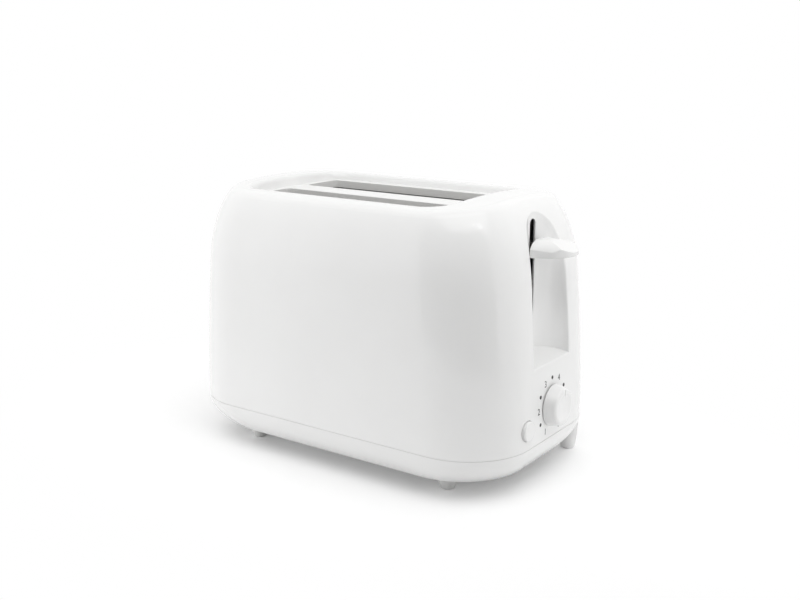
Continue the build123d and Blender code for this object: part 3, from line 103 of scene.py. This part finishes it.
INK_BLACK = ((0.010, 0.010, 0.011), (0.030, 0.030, 0.031))
FLOOR_WHITE = ((0.93, 0.93, 0.93), (0.95, 0.95, 0.95))

# Grain of rolled sheet, drawn out along one axis
GRAIN_ALONG_X = (0.06, 1.0, 1.0)
GRAIN_ALONG_Z = (1.0, 1.0, 0.06)

# Dial marks: the ring they lie on, where the first stands on the clock, and their sizes
MARK_RING = 0.0177
MARK_START = 210.0
MARK_STEP = 60.0
MARK_COUNT = 6
DIGIT_SIZE = 0.0058
DIGIT_THICKNESS = 0.00004
DOT_RADIUS = 0.0012
DOT_SIDES = 20
MARK_LIFT = 0.00003

# Lift spring
SPRING_TURNS = 10
SPRING_STEPS = 24
SPRING_SIDES = 12
SPRING_WIRE = 0.0005
SPRING_LEG = 0.0046
UPRIGHT_LIMIT = 0.001

# Floor, which turns from shaded to plain white from NEAR to FAR, in half sizes of the toaster's box
FLOOR_SIZE = 12.0
FLOOR_NEAR = 1.0
FLOOR_FAR = 2.7
FLOOR_LIFT = 0.11
FLOOR_ROUGHNESS = 0.9
FLOOR_SHINE = 0.1

# Lamps and the even light of the studio
AMBIENT = 0.76
LIGHT_TARGET = Vector((0.0, 0.0, 0.09))
OVERHEAD = {"place": (0.42, -0.28, 1.15), "size": (1.3, 1.1), "power": 6.5, "glossy": True}
LEFT_SOFTBOX = {"place": (-0.60, -0.95, 0.16), "size": (0.9, 0.3), "power": 3.1}
RIGHT_SOFTBOX = {"place": (1.35, 0.05, 0.16), "size": (0.7, 0.3), "power": 1.8}
WINDOW_PANES = [(0.73, -0.27, 1.04), (0.82, -0.13, 0.99)]
WINDOW_PANE = {"size": (0.07, 0.12), "power": 0.12, "glossy": True}

# Dark screen: an upright arc round the toaster, dark up to a height and paler from there to its top
SCREEN_RADIUS = 0.46
SCREEN_FROM = -21.0
SCREEN_TO = 79.0
SCREEN_STEPS = 25
SCREEN_HEIGHT = 0.50
SCREEN_DARK_TO = 0.10
SCREEN_DARK = 0.09
SCREEN_PALE = 0.64


def new_material(name):
    """A material with a principled shader; returns it with its node tree, shader and object coordinates."""
    material = bpy.data.materials.new(name)
    material.use_nodes = True
    tree = material.node_tree
    shader = tree.nodes["Principled BSDF"]
    coordinates = tree.nodes.new("ShaderNodeTexCoord")
    return material, tree, shader, coordinates.outputs["Object"]


def noise(tree, vector, scale, detail=3.0, stretch=(1.0, 1.0, 1.0)):
    """A noise value over the object, with a stretch for brushed or rolled grain."""
    mapping = tree.nodes.new("ShaderNodeMapping")
    mapping.inputs["Scale"].default_value = stretch
    tree.links.new(vector, mapping.inputs["Vector"])
    texture = tree.nodes.new("ShaderNodeTexNoise")
    texture.inputs["Scale"].default_value = scale
    texture.inputs["Detail"].default_value = detail
    tree.links.new(mapping.outputs["Vector"], texture.inputs["Vector"])
    return texture.outputs["Fac"]


def ramp(tree, value, tones, start=0.3, stop=0.7):
    """Two tones along a value."""
    node = tree.nodes.new("ShaderNodeValToRGB")
    for element, place, tone in zip(node.color_ramp.elements, (start, stop), tones):
        element.position = place
        element.color = (*tone, 1.0)
    tree.links.new(value, node.inputs["Fac"])
    return node.outputs["Color"]


def spread(tree, value, limits, source=(0.0, 1.0), kind="LINEAR"):
    """A value that runs between the two numbers of source, spread between two limits."""
    node = tree.nodes.new("ShaderNodeMapRange")
    node.interpolation_type = kind
    node.inputs["From Min"].default_value = source[0]
    node.inputs["From Max"].default_value = source[1]
    node.inputs["To Min"].default_value = limits[0]
    node.inputs["To Max"].default_value = limits[1]
    tree.links.new(value, node.inputs["Value"])
    return node.outputs["Result"]


def combined(tree, operation, first, second):
    """Two values joined by a math node; the second may be a plain number."""
    node = tree.nodes.new("ShaderNodeMath")
    node.operation = operation
    tree.links.new(first, node.inputs[0])
    if isinstance(second, float):
        node.inputs[1].default_value = second
    else:
        tree.links.new(second, node.inputs[1])
    return node.outputs["Value"]


def mixed(tree, share, first, second):
    """Two shaders mixed by a share, which is 1 where only the second shows."""
    node = tree.nodes.new("ShaderNodeMixShader")
    tree.links.new(share, node.inputs["Fac"])
    tree.links.new(first, node.inputs[1])
    tree.links.new(second, node.inputs[2])
    return node.outputs["Shader"]


def paint(tree, shader, tint, roughness):
    """Gives a shader its colour and its roughness."""
    tree.links.new(tint, shader.inputs["Base Color"])
    tree.links.new(roughness, shader.inputs["Roughness"])


def bump(tree, shader, height, strength, distance):
    """Gives a shader a fine relief."""
    node = tree.nodes.new("ShaderNodeBump")
    node.inputs["Strength"].default_value = strength
    node.inputs["Distance"].default_value = distance
    tree.links.new(height, node.inputs["Height"])
    tree.links.new(node.outputs["Normal"], shader.inputs["Normal"])


def gloss_plastic(name, tones, rough):
    """Moulded glossy plastic with a faint flow in its colour and a fine orange peel."""
    material, tree, shader, vector = new_material(name)
    flow = noise(tree, vector, scale=14.0)
    sheen = noise(tree, vector, scale=60.0)
    peel = noise(tree, vector, scale=420.0, detail=1.0)
    paint(tree, shader, ramp(tree, flow, tones), spread(tree, sheen, rough))
    bump(tree, shader, peel, strength=0.04, distance=0.0002)
    shader.inputs["IOR"].default_value = 1.5
    return material


def matte_plastic(name, tones, rough=(0.45, 0.62)):
    """Fine grained plastic."""
    material, tree, shader, vector = new_material(name)
    flow = noise(tree, vector, scale=90.0)
    sheen = noise(tree, vector, scale=300.0)
    grain = noise(tree, vector, scale=1600.0, detail=2.0)
    paint(tree, shader, ramp(tree, flow, tones), spread(tree, sheen, rough))
    bump(tree, shader, grain, strength=0.15, distance=0.0002)
    return material


def sheet_metal(name, tones, stretch, rough=(0.28, 0.46)):
    """Rolled sheet with grain along one direction and a cloudy surface."""
    material, tree, shader, vector = new_material(name)
    clouds = noise(tree, vector, scale=45.0)
    grain = noise(tree, vector, scale=120.0, detail=4.0, stretch=stretch)
    paint(tree, shader, ramp(tree, clouds, tones), spread(tree, grain, rough))
    bump(tree, shader, grain, strength=0.08, distance=0.0002)
    shader.inputs["Metallic"].default_value = 1.0
    return material


def drawn_metal(name, tones, rough):
    """Metal with fine patches: wire, springs, screws, contact leaves and the magnet's core."""
    material, tree, shader, vector = new_material(name)
    patches = noise(tree, vector, scale=160.0)
    sheen = noise(tree, vector, scale=500.0)
    paint(tree, shader, ramp(tree, patches, tones), spread(tree, sheen, rough))
    shader.inputs["Metallic"].default_value = 1.0
    return material


def mica_sheet():
    """Pressed mica flakes, pale silver and tan."""
    material, tree, shader, vector = new_material("mica sheet")
    flakes = tree.nodes.new("ShaderNodeTexVoronoi")
    flakes.inputs["Scale"].default_value = 140.0
    tree.links.new(vector, flakes.inputs["Vector"])
    tint = ramp(tree, flakes.outputs["Color"], MICA_TAN, start=0.1, stop=0.9)
    paint(tree, shader, tint, spread(tree, flakes.outputs["Color"], (0.22, 0.5)))
    bump(tree, shader, flakes.outputs["Distance"], strength=0.2, distance=0.0003)
    return material


def nichrome_ribbon():
    """Heating ribbon, darkened by use."""
    material, tree, shader, vector = new_material("nichrome ribbon")
    scorch = noise(tree, vector, scale=35.0)
    sheen = noise(tree, vector, scale=400.0)
    paint(tree, shader, ramp(tree, scorch, NICHROME_BROWN), spread(tree, sheen, (0.35, 0.6)))
    shader.inputs["Metallic"].default_value = 1.0
    return material


def copper_winding():
    """Enamelled copper in close turns."""
    material, tree, shader, vector = new_material("copper winding")
    turns = tree.nodes.new("ShaderNodeTexWave")
    turns.bands_direction = "Z"
    turns.inputs["Scale"].default_value = 700.0
    tree.links.new(vector, turns.inputs["Vector"])
    tint = ramp(tree, turns.outputs["Fac"], COPPER_RED, start=0.2, stop=0.8)
    paint(tree, shader, tint, spread(tree, turns.outputs["Fac"], (0.5, 0.25)))
    bump(tree, shader, turns.outputs["Fac"], strength=0.6, distance=0.0003)
    shader.inputs["Metallic"].default_value = 0.9
    return material


def circuit_board():
    """Brown phenolic board with paler tracks."""
    material, tree, shader, vector = new_material("circuit board")
    upright = tree.nodes.new("ShaderNodeMapping")
    upright.inputs["Rotation"].default_value = (math.pi / 2, 0.0, math.pi / 2)
    tree.links.new(vector, upright.inputs["Vector"])
    tracks = tree.nodes.new("ShaderNodeTexBrick")
    tracks.inputs["Scale"].default_value = 160.0
    tracks.inputs["Mortar Size"].default_value = 0.06
    tracks.inputs["Color1"].default_value = (*BOARD_BROWN[0], 1.0)
    tracks.inputs["Color2"].default_value = (*BOARD_BROWN[1], 1.0)
    tracks.inputs["Mortar"].default_value = (*TRACK_BROWN, 1.0)
    tree.links.new(upright.outputs["Vector"], tracks.inputs["Vector"])
    sheen = noise(tree, vector, scale=200.0)
    paint(tree, shader, tracks.outputs["Color"], spread(tree, sheen, (0.35, 0.55)))
    return material


def printed_ink():
    """Black printing ink, a little uneven."""
    material, tree, shader, vector = new_material("printed ink")
    patches = noise(tree, vector, scale=900.0)
    sheen = noise(tree, vector, scale=700.0)
    paint(tree, shader, ramp(tree, patches, INK_BLACK), spread(tree, sheen, (0.4, 0.55)))
    return material


def slot_materials():
    """One material for each material slot of the record."""
    return {
        "white_shell": gloss_plastic("white shell", SHELL_WHITE, rough=(0.09, 0.14)),
        "white_control": gloss_plastic("white controls", CONTROL_WHITE, rough=(0.16, 0.24)),
        "deck_enamel": gloss_plastic("deck enamel", DECK_WHITE, rough=(0.3, 0.42)),
        "chassis_steel": sheet_metal("chassis steel", CHASSIS_GREY, GRAIN_ALONG_Z),
        "wire_steel": drawn_metal("wire steel", WIRE_GREY, rough=(0.22, 0.36)),
        "spring_steel": drawn_metal("spring steel", SPRING_GREY, rough=(0.25, 0.4)),
        "mica": mica_sheet(),
        "nichrome": nichrome_ribbon(),
        "nylon": matte_plastic("black nylon", NYLON_BLACK),
        "core_iron": drawn_metal("core iron", IRON_GREY, rough=(0.4, 0.6)),
        "copper": copper_winding(),
        "board": circuit_board(),
        "leaf_brass": drawn_metal("leaf brass", BRASS_YELLOW, rough=(0.22, 0.4)),
        "tray_aluminium": sheet_metal("tray aluminium", TRAY_GREY, GRAIN_ALONG_X),
        "foot_rubber": matte_plastic("foot rubber", FOOT_GREY),
        "gland_plastic": matte_plastic("gland plastic", GLAND_GREY),
        "screw_steel": drawn_metal("screw steel", SCREW_GREY, rough=(0.25, 0.42)),
    }


def dress_nodes(materials):
    """Gives every CAD node the material of its slot."""
    for subpart in frame["record"]["subparts"]:
        mesh = NODES[subpart["node"]].data
        mesh.materials.clear()
        mesh.materials.append(materials[subpart["material_slot"]])


def add_mesh(name, mesh, material):
    """A new object that shows a mesh in one material."""
    mesh.materials.clear()
    mesh.materials.append(material)
    piece = bpy.data.objects.new(name, mesh)
    bpy.context.scene.collection.objects.link(piece)
    return piece


def on_end_wall(y, z):
    """A place on the shell's lever end with the axes of a mark printed there."""
    shell = NODES["outer_shell"]
    start = Vector((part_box("lever_knob")[1][0], y, z))
    _, place, normal, _ = shell.ray_cast(start, -X_AXIS)
    up = normal.cross(Y_AXIS).normalized()
    right = up.cross(normal).normalized()
    turn = Matrix((right, up, normal)).transposed().to_4x4()
    return Matrix.Translation(place + normal * MARK_LIFT) @ turn


def digit_mesh(number):
    """One thin printed digit, centred on its own origin."""
    curve = bpy.data.curves.new("digit", "FONT")
    curve.body = str(number)
    curve.size = DIGIT_SIZE
    curve.align_x = "CENTER"
    curve.align_y = "CENTER"
    curve.extrude = DIGIT_THICKNESS
    holder = bpy.data.objects.new("digit", curve)
    bpy.context.scene.collection.objects.link(holder)
    graph = bpy.context.evaluated_depsgraph_get()
    mesh = bpy.data.meshes.new_from_object(holder.evaluated_get(graph))
    bpy.data.objects.remove(holder)
    return mesh


def dot_mesh():
    """One thin printed dot."""
    mesh = bpy.data.meshes.new("dot")
    form = bmesh.new()
    bmesh.ops.create_cone(
        form,
        cap_ends=True,
        segments=DOT_SIDES,
        radius1=DOT_RADIUS,
        radius2=DOT_RADIUS,
        depth=2 * DIGIT_THICKNESS,
    )
    form.to_mesh(mesh)
    form.free()
    return mesh


def add_dial_marks(ink):
    """Digits round the browning knob with a dot midway between each two."""
    low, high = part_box("browning_knob")
    middle_y = (low[1] + high[1]) / 2
    middle_z = (low[2] + high[2]) / 2
    for place in range(2 * MARK_COUNT - 1):
        clock = math.radians(MARK_START + MARK_STEP * place / 2)
        y = middle_y + MARK_RING * math.sin(clock)
        z = middle_z + MARK_RING * math.cos(clock)
        number = place // 2 + 1
        if place % 2 == 0:
            mark = add_mesh(f"dial_digit_{number}", digit_mesh(number), ink)
        else:
            mark = add_mesh(f"dial_dot_{number}", dot_mesh(), ink)
        mark.matrix_world = on_end_wall(y, z)
        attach(mark, "toaster_body")


def tube_mesh(name, points, radius, sides):
    """A round tube along points, with flat ends."""
    mesh = bpy.data.meshes.new(name)
    form = bmesh.new()
    rings = []
    for place, point in enumerate(points):
        before = points[max(place - 1, 0)]
        after = points[min(place + 1, len(points) - 1)]
        way = (after - before).normalized()
        side = way.cross(Z_AXIS)
        if side.length < UPRIGHT_LIMIT:
            side = X_AXIS.copy()
        side.normalize()
        other = way.cross(side)
        ring = []
        for step in range(sides):
            turn = 2 * math.pi * step / sides
            ring.append(form.verts.new(point + (side * math.cos(turn) + other * math.sin(turn)) * radius))
        rings.append(ring)
    for first, second in zip(rings, rings[1:]):
        for step in range(sides):
            following = (step + 1) % sides
            form.faces.new((first[step], first[following], second[following], second[step]))
    form.faces.new(rings[0])
    form.faces.new(list(reversed(rings[-1])))
    bmesh.ops.recalc_face_normals(form, faces=form.faces)
    form.to_mesh(mesh)
    form.free()
    for polygon in mesh.polygons:
        polygon.use_smooth = True
    return mesh


def add_lift_spring(material):
    """The lift spring as round wire between its hooks on the carriage and on the chassis."""
    low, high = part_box("lift_spring")
    middle = Vector(((low[0] + high[0]) / 2, (low[1] + high[1]) / 2, 0.0))
    radius = (high[0] - low[0]) / 2 - SPRING_WIRE
    foot = low[2] + SPRING_LEG
    top = high[2] - SPRING_LEG
    points = []
    for step in range(SPRING_TURNS * SPRING_STEPS + 1):
        share = step / (SPRING_TURNS * SPRING_STEPS)
        turn = 2 * math.pi * SPRING_TURNS * share
        side = Vector((math.cos(turn), math.sin(turn), 0.0)) * radius
        points.append(middle + side + Z_AXIS * (foot + (top - foot) * share))
    points.insert(0, Vector((points[0].x, points[0].y, low[2])))
    points.append(Vector((points[-1].x, points[-1].y, high[2])))
    wire = tube_mesh("lift spring", points, SPRING_WIRE, SPRING_SIDES)
    spring = add_mesh("stretching_lift_spring", wire, material)
    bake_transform(spring)
    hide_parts("lift_spring")


def seen_rays(tree):
    """1 for rays from the camera, a glossy surface or glass, and 0 for the rays that light things."""
    path = tree.nodes.new("ShaderNodeLightPath")
    value = path.outputs["Is Camera Ray"]
    for name in ("Is Glossy Ray", "Is Transmission Ray"):
        value = combined(tree, "MAXIMUM", value, path.outputs[name])
    return value


def floor_material():
    """White that keeps the shadow near the toaster and is seen as plain white further off."""
    material, tree, shader, vector = new_material("white floor")
    tint = ramp(tree, noise(tree, vector, scale=3.0), FLOOR_WHITE)
    tree.links.new(tint, shader.inputs["Base Color"])
    shader.inputs["Roughness"].default_value = FLOOR_ROUGHNESS
    shader.inputs["Specular IOR Level"].default_value = FLOOR_SHINE
    seen = seen_rays(tree)
    glow = tree.nodes.new("ShaderNodeEmission")
    tree.links.new(combined(tree, "MULTIPLY", seen, FLOOR_LIFT), glow.inputs["Strength"])
    near = tree.nodes.new("ShaderNodeAddShader")
    tree.links.new(shader.outputs["BSDF"], near.inputs[0])
    tree.links.new(glow.outputs["Emission"], near.inputs[1])
    low, high = CAD_BOX
    footprint = tree.nodes.new("ShaderNodeMapping")
    footprint.inputs["Scale"].default_value = (2 / (high[0] - low[0]), 2 / (high[1] - low[1]), 1.0)
    tree.links.new(vector, footprint.inputs["Vector"])
    distance = tree.nodes.new("ShaderNodeVectorMath")
    distance.operation = "LENGTH"
    tree.links.new(footprint.outputs["Vector"], distance.inputs[0])
    reach = (FLOOR_NEAR, FLOOR_FAR)
    fade = spread(tree, distance.outputs["Value"], (0.0, 1.0), source=reach, kind="SMOOTHSTEP")
    far = tree.nodes.new("ShaderNodeEmission")
    share = combined(tree, "MULTIPLY", fade, seen)
    surface = mixed(tree, share, near.outputs["Shader"], far.outputs["Emission"])
    tree.links.new(surface, tree.nodes["Material Output"].inputs["Surface"])
    return material


def add_floor():
    """A square floor under the toaster."""
    half = FLOOR_SIZE / 2
    corners = [(-half, -half, 0.0), (half, -half, 0.0), (half, half, 0.0), (-half, half, 0.0)]
    mesh = bpy.data.meshes.new("floor")
    mesh.from_pydata(corners, [], [(0, 1, 2, 3)])
    floor = add_mesh("floor", mesh, floor_material())


def screen_material():
    """A faint glow that is dark low down and paler towards the top."""
    material, tree, _, vector = new_material("dark screen")
    place = tree.nodes.new("ShaderNodeSeparateXYZ")
    tree.links.new(vector, place.inputs["Vector"])
    rise = (SCREEN_DARK_TO, SCREEN_HEIGHT)
    strength = spread(tree, place.outputs["Z"], (SCREEN_DARK, SCREEN_PALE), source=rise)
    glow = tree.nodes.new("ShaderNodeEmission")
    tree.links.new(strength, glow.inputs["Strength"])
    tree.links.new(glow.outputs["Emission"], tree.nodes["Material Output"].inputs["Surface"])
    return material


def add_dark_screen():
    """The dark side of the studio round the camera, which the shell's gloss and shading show."""
    rim = []
    for step in range(SCREEN_STEPS + 1):
        turn = math.radians(SCREEN_FROM + (SCREEN_TO - SCREEN_FROM) * step / SCREEN_STEPS)
        rim.append((SCREEN_RADIUS * math.sin(turn), -SCREEN_RADIUS * math.cos(turn)))
    corners = [(x, y, z) for x, y in rim for z in (0.0, SCREEN_HEIGHT)]
    faces = [(2 * step, 2 * step + 2, 2 * step + 3, 2 * step + 1) for step in range(SCREEN_STEPS)]
    mesh = bpy.data.meshes.new("dark screen")
    mesh.from_pydata(corners, [], faces)
    screen = add_mesh("dark_screen", mesh, screen_material())
    screen.visible_camera = False
    screen.visible_shadow = False


def add_area_light(name, place, size, power, glossy=False):
    """A soft rectangular light that points at the toaster, with or without its image in glossy surfaces."""
    data = bpy.data.lights.new(name, "AREA")
    data.shape = "RECTANGLE"
    data.size, data.size_y = size
    data.energy = power
    lamp = bpy.data.objects.new(name, data)
    lamp.location = place
    lamp.rotation_euler = (LIGHT_TARGET - Vector(place)).to_track_quat("-Z", "Y").to_euler()
    lamp.visible_camera = False
    lamp.visible_glossy = glossy
    bpy.context.scene.collection.objects.link(lamp)


def light_scene():
    """A white studio: even light, a softbox above, one at each side and a small window for the gloss."""
    world = bpy.data.worlds.new("studio")
    bpy.context.scene.world = world
    world.use_nodes = True
    tree = world.node_tree
    even = tree.nodes["Background"]
    even.inputs["Color"].default_value = WHITE
    even.inputs["Strength"].default_value = AMBIENT
    white = tree.nodes.new("ShaderNodeBackground")
    white.inputs["Color"].default_value = WHITE
    sky = mixed(tree, seen_rays(tree), even.outputs["Background"], white.outputs["Background"])
    tree.links.new(sky, tree.nodes["World Output"].inputs["Surface"])
    add_area_light("overhead", **OVERHEAD)
    add_area_light("left softbox", **LEFT_SOFTBOX)
    add_area_light("right softbox", **RIGHT_SOFTBOX)
    for number, place in enumerate(WINDOW_PANES):
        add_area_light(f"window pane {number + 1}", place, **WINDOW_PANE)


def set_camera():
    """The camera at the photo's angle, with plain view settings."""
    data = bpy.data.cameras.new("photo")
    data.lens = CAMERA_LENS
    data.sensor_width = CAMERA_SENSOR
    camera = bpy.data.objects.new("photo", data)
    camera.location = CAMERA_PLACE
    camera.rotation_euler = (math.radians(90.0 - CAMERA_PITCH), 0.0, math.radians(CAMERA_AZIMUTH))
    bpy.context.scene.collection.objects.link(camera)
    bpy.context.scene.camera = camera
    bpy.context.scene.view_settings.view_transform = "Standard"


MATERIALS = slot_materials()
dress_nodes(MATERIALS)
add_dial_marks(printed_ink())
add_lift_spring(MATERIALS["spring_steel"])
add_floor()
add_dark_screen()
light_scene()
set_camera()
